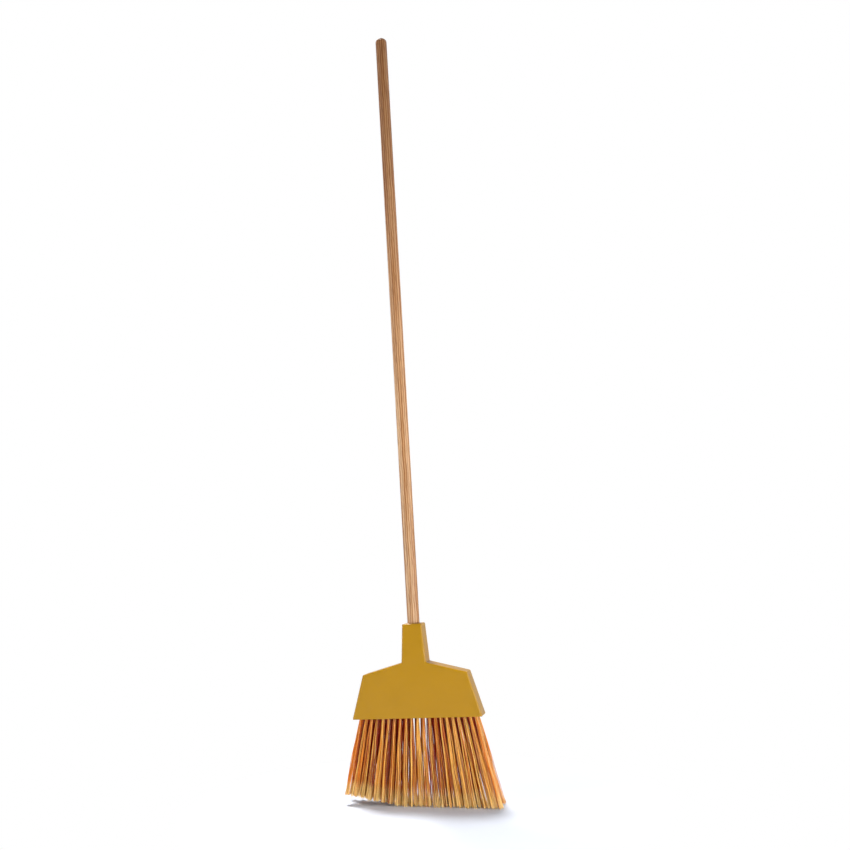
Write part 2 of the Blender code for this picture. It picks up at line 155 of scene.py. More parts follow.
camera = bpy.data.objects.new("camera", bpy.data.cameras.new("camera"))
camera.location = cameraView["place"]
camera.rotation_euler = [math.radians(angle) for angle in cameraView["turn"]]
camera.data.lens = cameraView["lens"]
camera.data.sensor_width = cameraView["sensor"]
bpy.context.scene.collection.objects.link(camera)
bpy.context.scene.camera = camera
print("camera: set")


# Handle: a turned dowel with a domed top and a wood thread at its lower end

handle = {
    "domeHeight": 0.009,
    "tenonLength": 0.030,
    "threadDiameter": 0.01905,
    "threadPitch": 0.00508,
    "threadDepth": 0.0011,
    "threadRelief": 0.0025,       # plain groove between thread and shoulder
    "endChamfer": 0.0015,
    "shoulderChamfer": 0.0008,
    "domeFlat": 0.0006,           # radius of the small flat left at the dome's top
    "sides": 72,
    "ringsPerTurn": 18,
    "shaftRings": 24,
    "domeRings": 14,
    "smoothAngle": 50,            # degrees: faces that meet at less are shaded as one surface
}
shaftLow, shaftHigh = uprightBox("handle_shaft")
shaftRadius = shaftHigh[0]
seat = shaftLow[2] + handle["tenonLength"]           # level of the dowel's shoulder
threadStart = shaftLow[2] + handle["endChamfer"]
threadStop = seat - handle["threadRelief"]
threadRoot = handle["threadDiameter"] / 2 - handle["threadDepth"]
dowelAngles = np.arange(handle["sides"]) * 2 * math.pi / handle["sides"]


def threadLevels():
    # levels of the thread's rings, evenly from its start to its stop, as one column
    count = round((threadStop - threadStart) / handle["threadPitch"] * handle["ringsPerTurn"])
    return np.linspace(threadStart, threadStop, count)[:, None]


def threadRadius(level, angle):
    # root + depth * ridge, with ridge (1 + cos(2 pi z / pitch - angle)) / 2, faded over a pitch at both ends
    ridge = (1 + np.cos(2 * math.pi * (level - seat) / handle["threadPitch"] - angle)) / 2
    fade = np.minimum(1, np.minimum(level - threadStart, threadStop - level) / handle["threadPitch"])
    return threadRoot + handle["threadDepth"] * ridge * fade


def turnedRings(radii, levels):
    # rings about the handle's axis: a radius and a level for each of the dowel's angles
    levels = levels * np.ones_like(radii)
    return np.stack([radii * np.cos(dowelAngles), radii * np.sin(dowelAngles), levels], axis=-1)


def dowelRings():
    # from the dowel's lower end over its thread and its shoulder to the dome's base
    level = threadLevels()
    chamfer = handle["shoulderChamfer"]
    shoulder = [(threadRoot, seat), (shaftRadius - chamfer, seat), (shaftRadius, seat + chamfer)]
    straight = np.linspace(seat + chamfer, shaftHigh[2] - handle["domeHeight"], handle["shaftRings"])[1:]
    levels = [shaftLow[2], *level[:, 0], *(z for _, z in shoulder), *straight]
    plain = [radius for radius, _ in shoulder] + [shaftRadius] * len(straight)
    radii = np.vstack([
        np.full((1, handle["sides"]), threadRoot - handle["endChamfer"]),
        threadRadius(level, dowelAngles),
        np.repeat(np.array(plain)[:, None], handle["sides"], axis=1),
    ])
    return turnedRings(radii, np.array(levels)[:, None])


def domeRings():
    # a half ellipsoid: radius * cos(b) at level top - height * (1 - sin(b)), up to a small flat at the top
    last = math.acos(handle["domeFlat"] / shaftRadius)
    rise = np.linspace(0, last, handle["domeRings"] + 1)[1:, None]
    radii = shaftRadius * np.cos(rise) * np.ones_like(dowelAngles)
    return turnedRings(radii, shaftHigh[2] - handle["domeHeight"] * (1 - np.sin(rise)))


wood = {
    "ringWidth": 4.0,              # mm, growth rings cut lengthwise
    "ringWaver": 4.0,              # how far they stray from true circles
    "ringShare": 0.36,             # of the rings in the tone, beside the broad bands
    "bandSize": (6.0, 260.0),      # mm across and along the grain, broad bands of tone
    "tones": [(0.33, "#9A6232"), (0.63, "#C69867"), (0.85, "#E3C29A")],
    "poreSize": (2.0, 24.0),       # mm, coarser than the real 0.3 by 5 mm, which is too fine to show
    "poreLimits": (0.52, 0.66),    # of the noise, from no pore to a full one
    "poreShare": 0.34,             # of the pore's colour in it
    "poreColour": "#7A4418",
    "pith": (0.034, 0.021),        # the tree's centre beside the dowel, in metres
    "pithTilt": 0.35,              # degrees between dowel and tree
    "darkeningLevels": (0.45, 1.45),   # metres above the floor, between which the colours that darken the dowel towards its top lie
    "darkeningColours": [(0.0, "#E8DCD2"), (0.25, "#F6EBE2"), (0.45, "#E8D6C8"), (1.0, "#B69C86")],
    "endGrain": (0.0065, 0.0025),  # metres below the top, from the last lacquered wood to dry end grain
    "endColour": "#3A1606",
    "finish": {                    # on lacquered wood and on dry end grain
        "Roughness": (0.42, 0.9),
        "Specular IOR Level": (0.24, 0.05),
        "Coat Weight": (0.12, 0.0),
    },
}


def grainScale(across, along):
    # repeats in a metre across and along the handle, from sizes in mm
    return 1000 / across, 1000 / across, 1000 / along


def lacqueredHardwood():
    # Turned hardwood under clear lacquer: warm brown, with long growth-ring streaks, short dark pores and a
    # soft gloss. The dowel is darker towards its top. The dome's end grain has drunk the lacquer, so it is
    # dark and dull.
    material, shader = newMaterial("lacqueredHardwood")
    place = addNode(material, "ShaderNodeTexCoord", {}, {}).outputs["Object"]
    upright = addNode(material, "ShaderNodeMapping", {"Rotation": (0, lean, 0)}, {"Vector": place}).outputs[0]
    poreMap, bandMap = (
        addNode(material, "ShaderNodeMapping", {"Scale": grainScale(*size)}, {"Vector": upright}).outputs[0]
        for size in (wood["poreSize"], wood["bandSize"])
    )
    tilt = math.radians(wood["pithTilt"])
    pithMap = addNode(material, "ShaderNodeMapping", {
        "Location": (*wood["pith"], 0), "Rotation": (tilt, tilt, 0),
    }, {"Vector": upright}).outputs[0]
    # the wave node's rings lie 2 pi / (20 * scale) apart
    rings = addNode(material, "ShaderNodeTexWave", {
        "wave_type": "RINGS", "rings_direction": "Z", "wave_profile": "SIN",
        "Scale": 2 * math.pi / (20 * wood["ringWidth"] / 1000),
        "Distortion": wood["ringWaver"], "Detail": 4.0, "Detail Scale": 0.35, "Detail Roughness": 0.6,
    }, {"Vector": pithMap}).outputs["Fac"]
    bands, pores = (
        addNode(material, "ShaderNodeTexNoise", {"Scale": 1.0, "Detail": detail},
                {"Vector": where}).outputs["Fac"]
        for where, detail in ((bandMap, 4.0), (poreMap, 2.0))
    )
    tone = addNode(material, "ShaderNodeMath", {"operation": "MULTIPLY_ADD", 1: wood["ringShare"]},
                   {0: rings, 2: bands}).outputs[0]
    plain = addNode(material, "ShaderNodeValToRGB", {"stops": wood["tones"]}, {"Fac": tone}).outputs[0]
    noPore, fullPore = wood["poreLimits"]
    pore = addNode(material, "ShaderNodeMapRange", {"From Min": noPore, "From Max": fullPore},
                   {"Value": pores}).outputs[0]
    poreShare = addNode(material, "ShaderNodeMath", {"operation": "MULTIPLY", 1: wood["poreShare"]},
                        {0: pore}).outputs[0]
    pored = addNode(material, "ShaderNodeMix", {"data_type": "RGBA", 7: hexColour(wood["poreColour"])},
                    {0: poreShare, 6: plain}).outputs[2]
    level = addNode(material, "ShaderNodeSeparateXYZ", {}, {0: upright}).outputs["Z"]
    darkeningLow, darkeningHigh = wood["darkeningLevels"]
    height = addNode(material, "ShaderNodeMapRange", {"From Min": darkeningLow, "From Max": darkeningHigh},
                     {"Value": level}).outputs[0]
    darkening = addNode(material, "ShaderNodeValToRGB", {"stops": wood["darkeningColours"]},
                    {"Fac": height}).outputs[0]
    darkened = addNode(material, "ShaderNodeMix", {"data_type": "RGBA", "blend_type": "MULTIPLY", 0: 1.0},
                   {6: pored, 7: darkening}).outputs[2]
    lacquerEnd, dryStart = (shaftHigh[2] - below for below in wood["endGrain"])
    dryness = addNode(material, "ShaderNodeMapRange", {"From Min": lacquerEnd, "From Max": dryStart},
                      {"Value": level}).outputs[0]
    colour = addNode(material, "ShaderNodeMix", {"data_type": "RGBA", 7: hexColour(wood["endColour"])},
                     {0: dryness, 6: darkened}).outputs[2]
    bump = addNode(material, "ShaderNodeBump", {"Strength": 0.25, "Distance": 0.0001, "invert": True},
                   {"Height": pore}).outputs[0]
    material.node_tree.links.new(colour, shader.inputs["Base Color"])
    material.node_tree.links.new(bump, shader.inputs["Normal"])
    for socket, (lacquered, dry) in wood["finish"].items():
        value = addNode(material, "ShaderNodeMapRange", {"To Min": lacquered, "To Max": dry},
                        {"Value": dryness})
        material.node_tree.links.new(value.outputs[0], shader.inputs[socket])
    shader.inputs["Coat Roughness"].default_value = 0.24
    return material


def makeHandle():
    # the dowel's and the dome's rings joined by quads, with a flat face at each end
    rings = np.concatenate([dowelRings(), domeRings()])
    faces = closedFaces(*rings.shape[:2])
    makePiece("handle_dowel", rings.reshape(-1, 3), faces, [lacqueredHardwood()], "handle",
              ["handle_shaft"], math.radians(handle["smoothAngle"]))


makeHandle()
print("handle: made")


# Cap and tray: a shell with rounded edges in place of the CAD cap, and the CAD tray, in moulded plastic

plastic = {
    "cloudSize": 38.0,             # mm
    "cloudShare": 0.05,            # how much darker or lighter a cloud is
    "grainSize": 0.35,             # mm, coarser than the real 0.1 mm, which is too fine to show
}


def mouldedPolypropylene(name, colourCode, roughness):
    # Moulded polypropylene: an even colour right through, with faint clouding from the flow of the melt, a
    # very fine spark-eroded grain and a soft gloss that turns pale at a grazing view.
    material, shader = newMaterial(name)
    place = addNode(material, "ShaderNodeTexCoord", {}, {}).outputs["Object"]
    cloud = addNode(material, "ShaderNodeTexNoise", {"Scale": 1000 / plastic["cloudSize"], "Detail": 3.0},
                    {"Vector": place}).outputs["Fac"]
    grain = addNode(material, "ShaderNodeTexNoise", {"Scale": 1000 / plastic["grainSize"], "Detail": 1.0},
                    {"Vector": place}).outputs["Fac"]
    share = plastic["cloudShare"]
    shade = addNode(material, "ShaderNodeMapRange", {"To Min": 1 - share, "To Max": 1 + share},
                    {"Value": cloud}).outputs[0]
    colour = addNode(material, "ShaderNodeMix", {
        "data_type": "RGBA", "blend_type": "MULTIPLY", 0: 1.0, 6: hexColour(colourCode),
    }, {7: shade}).outputs[2]
    bump = addNode(material, "ShaderNodeBump", {"Strength": 0.08, "Distance": 0.0001},
                   {"Height": grain}).outputs[0]
    material.node_tree.links.new(colour, shader.inputs["Base Color"])
    material.node_tree.links.new(bump, shader.inputs["Normal"])
    shader.inputs["Roughness"].default_value = roughness
    shader.inputs["Specular IOR Level"].default_value = 0.4
    shader.inputs["IOR"].default_value = 1.49
    return material


head = {
    "colour": "#AE7F07",
    "roughness": 0.30,
    "trayColour": "#A67F22",
    "trayRoughness": 0.5,
    "sideFlare": 0.0229,           # each side leans in by this much up to the shoulder
    "shoulderHeight": 0.0781,
    "shoulderRise": 0.0193,        # from the shoulder's outer end up to the neck
    "neckTopHalf": 0.0181,         # half the neck's width at its top
    "neckFlare": 0.0048,           # each side of the neck widens by this much down to the shoulders
    "depthTaper": 0.0043,          # how much thinner the cap is at its top than at its lower edge
    "edgeRadius": 0.0026,
    "shoulderRadius": 0.0027,      # of the corners seen from the front
    "junctionRadius": 0.0020,
    "rimRadius": 0.0011,           # width of the rounding round the lower edge
    "rimRise": 0.0006,             # by which that rounding is higher than wide at the two sides
    "wall": 0.0025,
    "pocketRadius": 0.0030,
    "pocketDepth": 0.0098,
    "pocketChamfer": 0.0004,
    "gap": 0.0003,                 # round the handle and the tray
    "boreChamfer": 0.0006,
    "boreEndGap": 0.0015,          # below the tenon
    "browShare": 0.999,            # of the edge radius, rolled in at the neck's top, so that no points meet
    "rowSteps": 16,                # steps of a ring along the front and the back
    "sideSteps": 6,
    "cornerSteps": 6,
    "filletSteps": 5,
    "rimSteps": 4,
    "browSteps": 5,
    "smoothAngle": 40,
}
capLow, capHigh = uprightBox("head_cap")
capTop = capHigh[2] - capLow[2]        # levels of the cap are above its lower edge till capRings lifts them
trayHigh = uprightBox("tuft_tray")[1]


def ringShape(rowSteps, sideSteps, cornerSteps):
    # A rounded rectangle as flatX, roundX, flatY and roundY: x = (halfWidth - r) * flatX + r * roundX, and
    # y = (halfDepth - r) * flatY + r * roundY. It starts at the front's left end and runs along the front,
    # the right side, the back and the left side.
    row = np.linspace(-1, 1, rowSteps + 1)
    side = np.linspace(-1, 1, sideSteps + 1)[1:-1]
    turn = np.linspace(0, math.pi / 2, cornerSteps + 1)[1:]
    one, zero = np.ones_like, np.zeros_like
    half = np.concatenate([
        np.stack([row, zero(row), -one(row), -one(row)]),
        np.stack([one(turn), np.sin(turn), -one(turn), -np.cos(turn)]),
        np.stack([one(side), one(side), side, zero(side)]),
        np.stack([one(turn), np.sin(turn), one(turn), np.cos(turn)])[:, ::-1],
    ], axis=1)
    return np.concatenate([half, -half], axis=1)


flatX, roundX, flatY, roundY = ringShape(head["rowSteps"], head["sideSteps"], head["cornerSteps"])


def capHalfDepth(level):
    # the front and the back lean in evenly towards the top
    return capHigh[1] - head["depthTaper"] / 2 * level / capTop


def levelRing(halfWidth, halfDepth, corner, level):
    # a rounded rectangle at one level
    x = (halfWidth - corner) * flatX + corner * roundX
    y = (halfDepth - corner) * flatY + corner * roundY
    return np.stack([x, y, np.full_like(x, level)], axis=1)


def rolledRings(ring, level, reach, steps):
    # a quarter round from a ring to a level: inward by reach * (1 - cos), and up or down by the sine
    inward = -np.stack([roundX, roundY], axis=1)
    rings = []
    for turn in np.linspace(0, math.pi / 2, steps + 1)[1:]:
        moved = ring.copy()
        moved[:, :2] += inward * reach * (1 - math.cos(turn))
        moved[:, 2] += (level - ring[:, 2]) * math.sin(turn)
        rings.append(moved)
    return rings


def capOutline():
    # Right half of the outline seen from the front, bottom to top: x, z, and the outward normal's x and z.
    # A corner is an arc about corner -+ radius * (n1 + n2) / (1 + n1.n2), whose normal turns evenly from n1
    # to n2.
    neckHalf = head["neckTopHalf"]
    shoulder, junction = head["shoulderHeight"], head["shoulderHeight"] + head["shoulderRise"]
    corners = np.array([(capHigh[0], 0), (capHigh[0] - head["sideFlare"], shoulder),
                        (neckHalf + head["neckFlare"], junction), (neckHalf, capTop)])
    step = np.diff(corners, axis=0)
    normals = np.stack([step[:, 1], -step[:, 0]], axis=1) / np.linalg.norm(step, axis=1)[:, None]
    start = corners[0] + step[0] * (head["rimRadius"] + head["rimRise"]) / step[0, 1]
    end = corners[3] - step[2] * head["edgeRadius"] / step[2, 1]
    points, directions = [start[None]], [normals[:1]]
    for k, radius in ((1, head["shoulderRadius"]), (2, -head["junctionRadius"])):
        first, last = normals[k - 1], normals[k]
        centre = corners[k] - radius * (first + last) / (1 + first @ last)
        firstAngle, lastAngle = (math.atan2(normal[1], normal[0]) for normal in (first, last))
        angle = np.linspace(firstAngle, lastAngle, head["filletSteps"] + 1)
        arc = np.stack([np.cos(angle), np.sin(angle)], axis=1)
        points.append(centre + radius * arc)
        directions.append(arc)
    points.append(end[None])
    directions.append(normals[2:])
    return np.concatenate(points), np.concatenate(directions)


def outsideRings():
    # A ring for each point p of the outline, with normal n and edge radius r:
    # x = (p.x - n.x r) flatX + n.x r roundX, and z = p.z - n.z r (1 - |roundX|).
    radius = head["edgeRadius"]
    rings = []
    for (x, z), (nx, nz) in zip(*capOutline()):
        level = z - nz * radius * (1 - np.abs(roundX))
        y = (capHalfDepth(level) - radius) * flatY + radius * roundY
        rings.append(np.stack([(x - nx * radius) * flatX + nx * radius * roundX, y, level], axis=1))
    return rings


def cavityRings():
    # from the cavity's roof below the neck, along the shoulders and down to the pocket that holds the tray
    wall, corner, chamfer = head["wall"], head["pocketRadius"], head["pocketChamfer"]
    pocketWidth, pocketDepth = trayHigh[:2] + head["gap"]
    shoulder = head["shoulderHeight"] - wall
    roofDepth = capHalfDepth(capTop) - wall
    return [
        levelRing(head["neckTopHalf"] + head["neckFlare"], roofDepth, wall, shoulder + head["shoulderRise"]),
        levelRing(capHigh[0] - head["sideFlare"] - wall, roofDepth, wall, shoulder),
        levelRing(pocketWidth, pocketDepth, corner, head["pocketDepth"]),
        levelRing(pocketWidth, pocketDepth, corner, chamfer),
        levelRing(pocketWidth + chamfer, pocketDepth + chamfer, corner, 0),
    ]


def boreRings(angle):
    # circles from the neck's top down to the dowel's shoulder, round its thread and to the bore's floor
    gap, chamfer = head["gap"], head["boreChamfer"]
    circles = [
        (shaftRadius + gap + chamfer, capHigh[2]),
        (shaftRadius + gap, capHigh[2] - chamfer),
        (shaftRadius + gap, seat - gap),
        *((threadRadius(level, angle) + gap, level) for level in threadLevels()[::-1, 0]),
        (threadRoot + gap, shaftLow[2] - head["boreEndGap"]),
    ]
    return [np.stack([radius * np.cos(angle), radius * np.sin(angle), level - capLow[2] + 0 * angle], axis=1)
            for radius, level in circles]


def capRings():
    # down inside the cavity, round the rim, up the outside, over the neck's top and down the bore
    outside = outsideRings()
    rim = rolledRings(outside[0], 0, head["rimRadius"], head["rimSteps"])[::-1]
    brow = rolledRings(outside[-1], capTop, head["edgeRadius"] * head["browShare"], head["browSteps"])
    bore = boreRings(np.arctan2(brow[-1][:, 1], brow[-1][:, 0]))     # in the directions of the neck's top
    rings = np.array(cavityRings() + rim + outside + brow + bore)
    rings[..., 2] += capLow[2]
    return rings


def makeCap():
    # the cap's rings joined by quads, with a flat face as the cavity's roof and one as the bore's floor
    rings = capRings()
    faces = closedFaces(*rings.shape[:2])
    material = mouldedPolypropylene("mouldedPolypropylene", head["colour"], head["roughness"])
    piece = makePiece("cap_shell", rings.reshape(-1, 3), faces, [material], "head",
                      ["head_cap"], math.radians(head["smoothAngle"]))
    piece.modifiers.new("faceNormals", "WEIGHTED_NORMAL").keep_sharp = True


makeCap()
trayPlastic = mouldedPolypropylene("trayPolypropylene", head["trayColour"], head["trayRoughness"])
frame["nodes"]["tuft_tray"].data.materials.clear()
frame["nodes"]["tuft_tray"].data.materials.append(trayPlastic)
print("cap and tray: finished")


# Bristles: tufts of split-ended filaments, fanned out and trimmed at an angle

tufts = {
    "columns": 21,
    "withoutBackTuft": (10, 11, 12),
    "pitch": 0.010627,            # between neighbouring tufts of a row, at the tray's underside
    "rowSpacing": 0.0090,         # front, middle and back row
    "trayUnderside": 0.1533,      # level on the handle's axis
    "backingBottom": 0.1586,
    "backingThickness": 0.0025,
    "backingInset": 0.0029,       # from the tray's outermost edge
    "backingEdge": 0.0004,        # chamfer of a slice's edges
    "sliceGap": 0.0003,
    "fanApexHeight": 0.480,       # where the tufts' lines meet, above the tray's underside, from the front
    "depthApexHeight": 0.164,     # the same, from the side
    "strandsInRing": 6,           # bundles round the middle one of a tuft
    "strandSpacing": 0.0017,      # from a tuft's middle to its ring of bundles, at the tray
    "spreadWidth": 0.0053,        # the same at the floor
    "spreadDepth": 0.0083,
    "ringTurn": 137.5,            # degrees from one tuft to the next
    "trimStart": 0.036,           # left of the axis, where the angled part of the cut begins
    "trimSlope": 10.5,            # degrees, against a cut square to the handle
}

filaments = {
    "seed": 64,
    "clumps": 3,                  # in a bundle; they part on the way down
    "perClump": 4,
    "radius": 0.00024,
    "tipTaper": 0.2,              # share of the radius that is gone at the tip
    "bundleRadius": 0.00064,      # at the tray
    "clumpStray": 0.0030,         # how far a clump's tip strays from its bundle's
    "clumpRadius": 0.0004,        # at the floor
    # how far a tuft opens, against the spread given for the floor
    "openness": {"front": (0.55, 0.85), "middle": (1.0, 1.25), "back": (0.8, 1.1)},
    "rightOpenness": 0.25,        # added on the way from the left end to the right one
    "opening": 0.7,               # power of the drop by which a tuft opens: below 1, more near the tray
    "tipLimit": (0.0064, 0.0085),  # of a whole tuft at the floor, along X and Y
    "endLimit": 0.0046,           # outward, of the tufts at the two ends, but for a few stray filaments
    "endStrays": 0.06,            # share of those
    "rings": 12,
    "ringPower": 1.1,             # above 1 the rings lie closer together near the backing
    "tuftWave": 0.0006,           # sideways wave of a tuft, of a clump and of one filament in it
    "clumpWave": 0.0007,
    "filamentWave": 0.0003,
    "waveTurns": (0.5, 1.3),      # on the way down
    "shortening": 0.0014,         # how much shorter than the cut a clump or a filament may be
    "splitLength": 0.022,         # of the split, pale end
    "hairs": 2,                   # split off each end
    "hairRings": 3,
    "hairRadius": 0.00013,
    "hairSpread": 0.0008,
    "hairReach": (0.5, 1.5),      # of that spread
    "smoothAngle": 60,
}

bristleColours = {
    "tone": 0.57,                 # mean, from 0 dark to 1 light
    "toneSpread": (0.12, 0.58, 0.2),       # of bundles, of clumps and of single filaments
    "endTone": (0.25, 0.50),      # least and most, of the tufts at the two ends, mostly darker: painted shade against the strong light they stand in
    "tones": [(0.1, "#963002"), (0.35, "#DE7404"), (0.6, "#F59A1C"), (0.9, "#FFC658")],
    # the middle and back rows' lower paleness is painted shade among the front tufts' pale ends
    "tipPaleness": {"front": (0.75, 1.25), "middle": (0.3, 0.8), "back": (0.4, 0.9)},
    "paleSpread": (0.55, 0.1),    # of clumps and of single filaments
    "paintedHighlightShare": (0.08, 0.36),  # of the clumps at the left end and at the right one that carry a painted highlight all along
    "paintedHighlightPower": 4,             # above 1 the painted highlights keep to the right end
    "paintedHighlightPaleness": (0.25, 0.7),
    "paleColour": "#FFDA88",
    "shade": 1.7,                 # painted shade at the middle of the brush, falling to none at its front, back and ends
    "paintedShadeLength": 0.110,         # below the tray, where the painted shade has faded in part
    "lastPaintedShade": 0.75,            # share of it that is left there
    "openPaintedShade": 0.3,             # share of it in the middle tufts that have no tuft behind them
    # deep red brown of the painted shade
    "paintedShadeColour": "#C02806",
    "lumpSize": 2.5,              # mm, of the melted backing
    "backingTones": [(0.3, "#6E3A16"), (0.7, "#A0662B")],
}


def cutLevel(x):
    # the higher of two planes: the floor, -x tan(lean), and the angled cut, -x tan(slope) less a shift, so
    # that they meet at -trimStart
    floor = math.tan(lean)
    slope = math.tan(math.radians(tufts["trimSlope"]))
    return np.maximum(-x * floor, -x * slope - tufts["trimStart"] * (slope - floor))


def tubes(centres, radii, turns):
    # Square tubes: corner k of a ring is centre + radius * (cos, sin) of turn + 90 k degrees, in the level
    # plane. Shapes: centres (tube, ring, 3), radii (tube, ring), turns (tube). Gives all points, and all
    # quads with both ends of each tube.
    count, rings = radii.shape
    angle = turns[:, None, None] + np.arange(4) * math.pi / 2
    points = np.repeat(centres[:, :, None, :], 4, axis=2)
    points[..., 0] += radii[:, :, None] * np.cos(angle)
    points[..., 1] += radii[:, :, None] * np.sin(angle)
    ends = np.array([[0, 1, 2, 3], [4 * rings - 1, 4 * rings - 2, 4 * rings - 3, 4 * rings - 4]])
    quads = np.concatenate([gridQuads(rings, 4)[:, ::-1], ends])
    quads = quads + (4 * rings * np.arange(count))[:, None, None]
    return points.reshape(-1, 3), quads.reshape(-1, 4)


def toRight(x):
    # from 0 at the head's left end to 1 at its right one
    return x / (2 * trayHigh[0]) + 0.5


def tuftPaths(tuftX, tuftY, turn, row, end, random):
    # Centre lines of one tuft's filaments, as (bundle, clump, filament, ring, 3). With t = the drop below the
    # tray over the tray's height, a point is fan line + tray place + (tip place - tray place) * t ^ opening
    # + waves * 4 t (1 - t). A tip place is bundle + clump + filament in it.
    bundles = tufts["strandsInRing"] + 1
    clumps, count = filaments["clumps"], filaments["perClump"]
    shape = (bundles, clumps, count)
    ringAngle = turn + np.arange(bundles) * 2 * math.pi / tufts["strandsInRing"]
    inRing = np.where(np.arange(bundles) < tufts["strandsInRing"], 1.0, 0.0)
    side = np.stack([inRing * np.cos(ringAngle), inRing * np.sin(ringAngle)], axis=-1)[:, None, None, :]
    number = np.arange(clumps * count)
    spiral = number * math.pi * (3 - math.sqrt(5))     # a golden angle from one to the next
    distance = np.sqrt((number + 0.5) / (clumps * count))
    disc = distance[:, None] * np.stack([np.cos(spiral), np.sin(spiral)], axis=-1)
    atTray = side * tufts["strandSpacing"] + disc.reshape(1, clumps, count, 2) * filaments["bundleRadius"]
    openness = random.uniform(*filaments["openness"][row]) + filaments["rightOpenness"] * toRight(tuftX)
    atTip = side * (tufts["spreadWidth"], tufts["spreadDepth"]) * openness
    atTip = atTip + random.normal(0, filaments["clumpStray"], (bundles, clumps, 1, 2))
    atTip = atTip + random.normal(0, filaments["clumpRadius"], (*shape, 2))
    reach = np.linalg.norm(atTip / filaments["tipLimit"], axis=-1, keepdims=True)
    atTip = atTip / np.maximum(reach, 1)
    strays = random.random(shape) < filaments["endStrays"]
    if end:
        outward = np.where(strays, filaments["tipLimit"][0], filaments["endLimit"])
        atTip[..., 0] = end * np.minimum(end * atTip[..., 0], outward)
    floorX = tuftX * (1 + tufts["trayUnderside"] / tufts["fanApexHeight"])
    shorter = np.abs(random.normal(0, filaments["shortening"], (bundles, clumps, 1)))
    shorter = shorter + np.abs(random.normal(0, filaments["shortening"] / 2, shape))
    tipLevel = cutLevel(floorX + atTip[..., 0]) + shorter
    top = tufts["backingBottom"] + tufts["backingThickness"] / 2
    along = np.linspace(0, 1, filaments["rings"]) ** filaments["ringPower"]
    level = top + (tipLevel[..., None] - top) * along
    drop = tufts["trayUnderside"] - level
    t = np.clip(drop / tufts["trayUnderside"], 0, 1)[..., None]
    fanX = tuftX * (1 + drop / tufts["fanApexHeight"])
    fanY = tuftY * (1 + drop / tufts["depthApexHeight"])
    wave = 0
    for size, each in (("tuftWave", (1, 1, 1)), ("clumpWave", (bundles, clumps, 1)), ("filamentWave", shape)):
        turns = random.uniform(*filaments["waveTurns"], (*each, 1, 1))
        phase = random.uniform(0, 1, (*each, 1, 2))
        wave = wave + filaments[size] * np.sin(2 * math.pi * (t * turns + phase))
    place = atTray[..., None, :] + (atTip - atTray)[..., None, :] * t ** filaments["opening"]
    place = place + wave * 4 * t * (1 - t)
    return np.concatenate([np.stack([fanX, fanY], axis=-1) + place, level[..., None]], axis=-1)


def tuftColours(paths, tuftX, row, end, paintedShadeCover, random):
    # Colour values of one tuft's filaments, from 0 to 1: tone, from dark to light; pale, of the split end;
    # painted highlight, of those that are pale all along; and painted shade, at each ring, by how deep it lies
    # in the brush: its distance from the nearest side over half the brush's depth.
    shape = paths.shape[:3]
    byBundle, byClump = (shape[0], 1, 1), (*shape[:2], 1)
    bundleSpread, clumpSpread, filamentSpread = bristleColours["toneSpread"]
    tone = bristleColours["tone"] + random.normal(0, bundleSpread, byBundle)
    tone = tone + random.normal(0, clumpSpread, byClump)
    tone = tone + random.normal(0, filamentSpread, shape)
    if end:
        tone = np.clip(tone, *bristleColours["endTone"])
    clumpSpread, filamentSpread = bristleColours["paleSpread"]
    pale = random.uniform(*bristleColours["tipPaleness"][row]) + random.normal(0, clumpSpread, byClump)
    pale = pale + random.normal(0, filamentSpread, shape)
    # painted highlights: clumps pale along their whole length, more of them towards the right end
    leftShare, rightShare = bristleColours["paintedHighlightShare"]
    share = leftShare + (rightShare - leftShare) * toRight(tuftX) ** bristleColours["paintedHighlightPower"]
    highlighted = random.random(byClump) < share
    paleness = random.uniform(*bristleColours["paintedHighlightPaleness"], byClump)
    paintedHighlight = np.where(highlighted, paleness, 0) * np.ones(shape)
    # painted shade: the deeper a point lies in the brush, the more of the shade colour it takes
    drop = tufts["trayUnderside"] - paths[..., 2]
    halfDepth = (tufts["rowSpacing"] + tufts["strandSpacing"]) * (1 + drop / tufts["depthApexHeight"])
    lastTuft = tufts["pitch"] * (tufts["columns"] - 1) / 2
    halfWidth = (lastTuft + tufts["strandSpacing"]) * (1 + drop / tufts["fanApexHeight"])
    buried = np.minimum(halfWidth - np.abs(paths[..., 0]), halfDepth - np.abs(paths[..., 1]))
    fading = np.clip(1 - drop / bristleColours["paintedShadeLength"], 0, 1)
    lastPaintedShade = bristleColours["lastPaintedShade"]
    shade = buried / halfDepth * paintedShadeCover * (lastPaintedShade + (1 - lastPaintedShade) * fading)
    return np.clip(tone, 0, 1), np.clip(pale, 0, 1), paintedHighlight, np.clip(shade, 0, 1)


def splitEnds(paths, random):
    # fine hairs that leave a filament near its tip: start + (tip - start) * s + sideways spread * s squared
    hairs = np.repeat(paths, filaments["hairs"], axis=0)
    step = (hairs[:, -2] - hairs[:, -1]) / (hairs[:, -2, 2] - hairs[:, -1, 2])[:, None]
    start = hairs[:, -1] + step * filaments["splitLength"]
    s = np.linspace(0, 1, filaments["hairRings"])[None, :, None]
    angle = random.uniform(0, 2 * math.pi, len(hairs))
    reach = random.uniform(*filaments["hairReach"], len(hairs)) * filaments["hairSpread"]
    sideways = np.stack([reach * np.cos(angle), reach * np.sin(angle), 0 * angle], axis=-1)[:, None, :]
    return start[:, None] + (hairs[:, -1:] - start[:, None]) * s + sideways * s ** 2


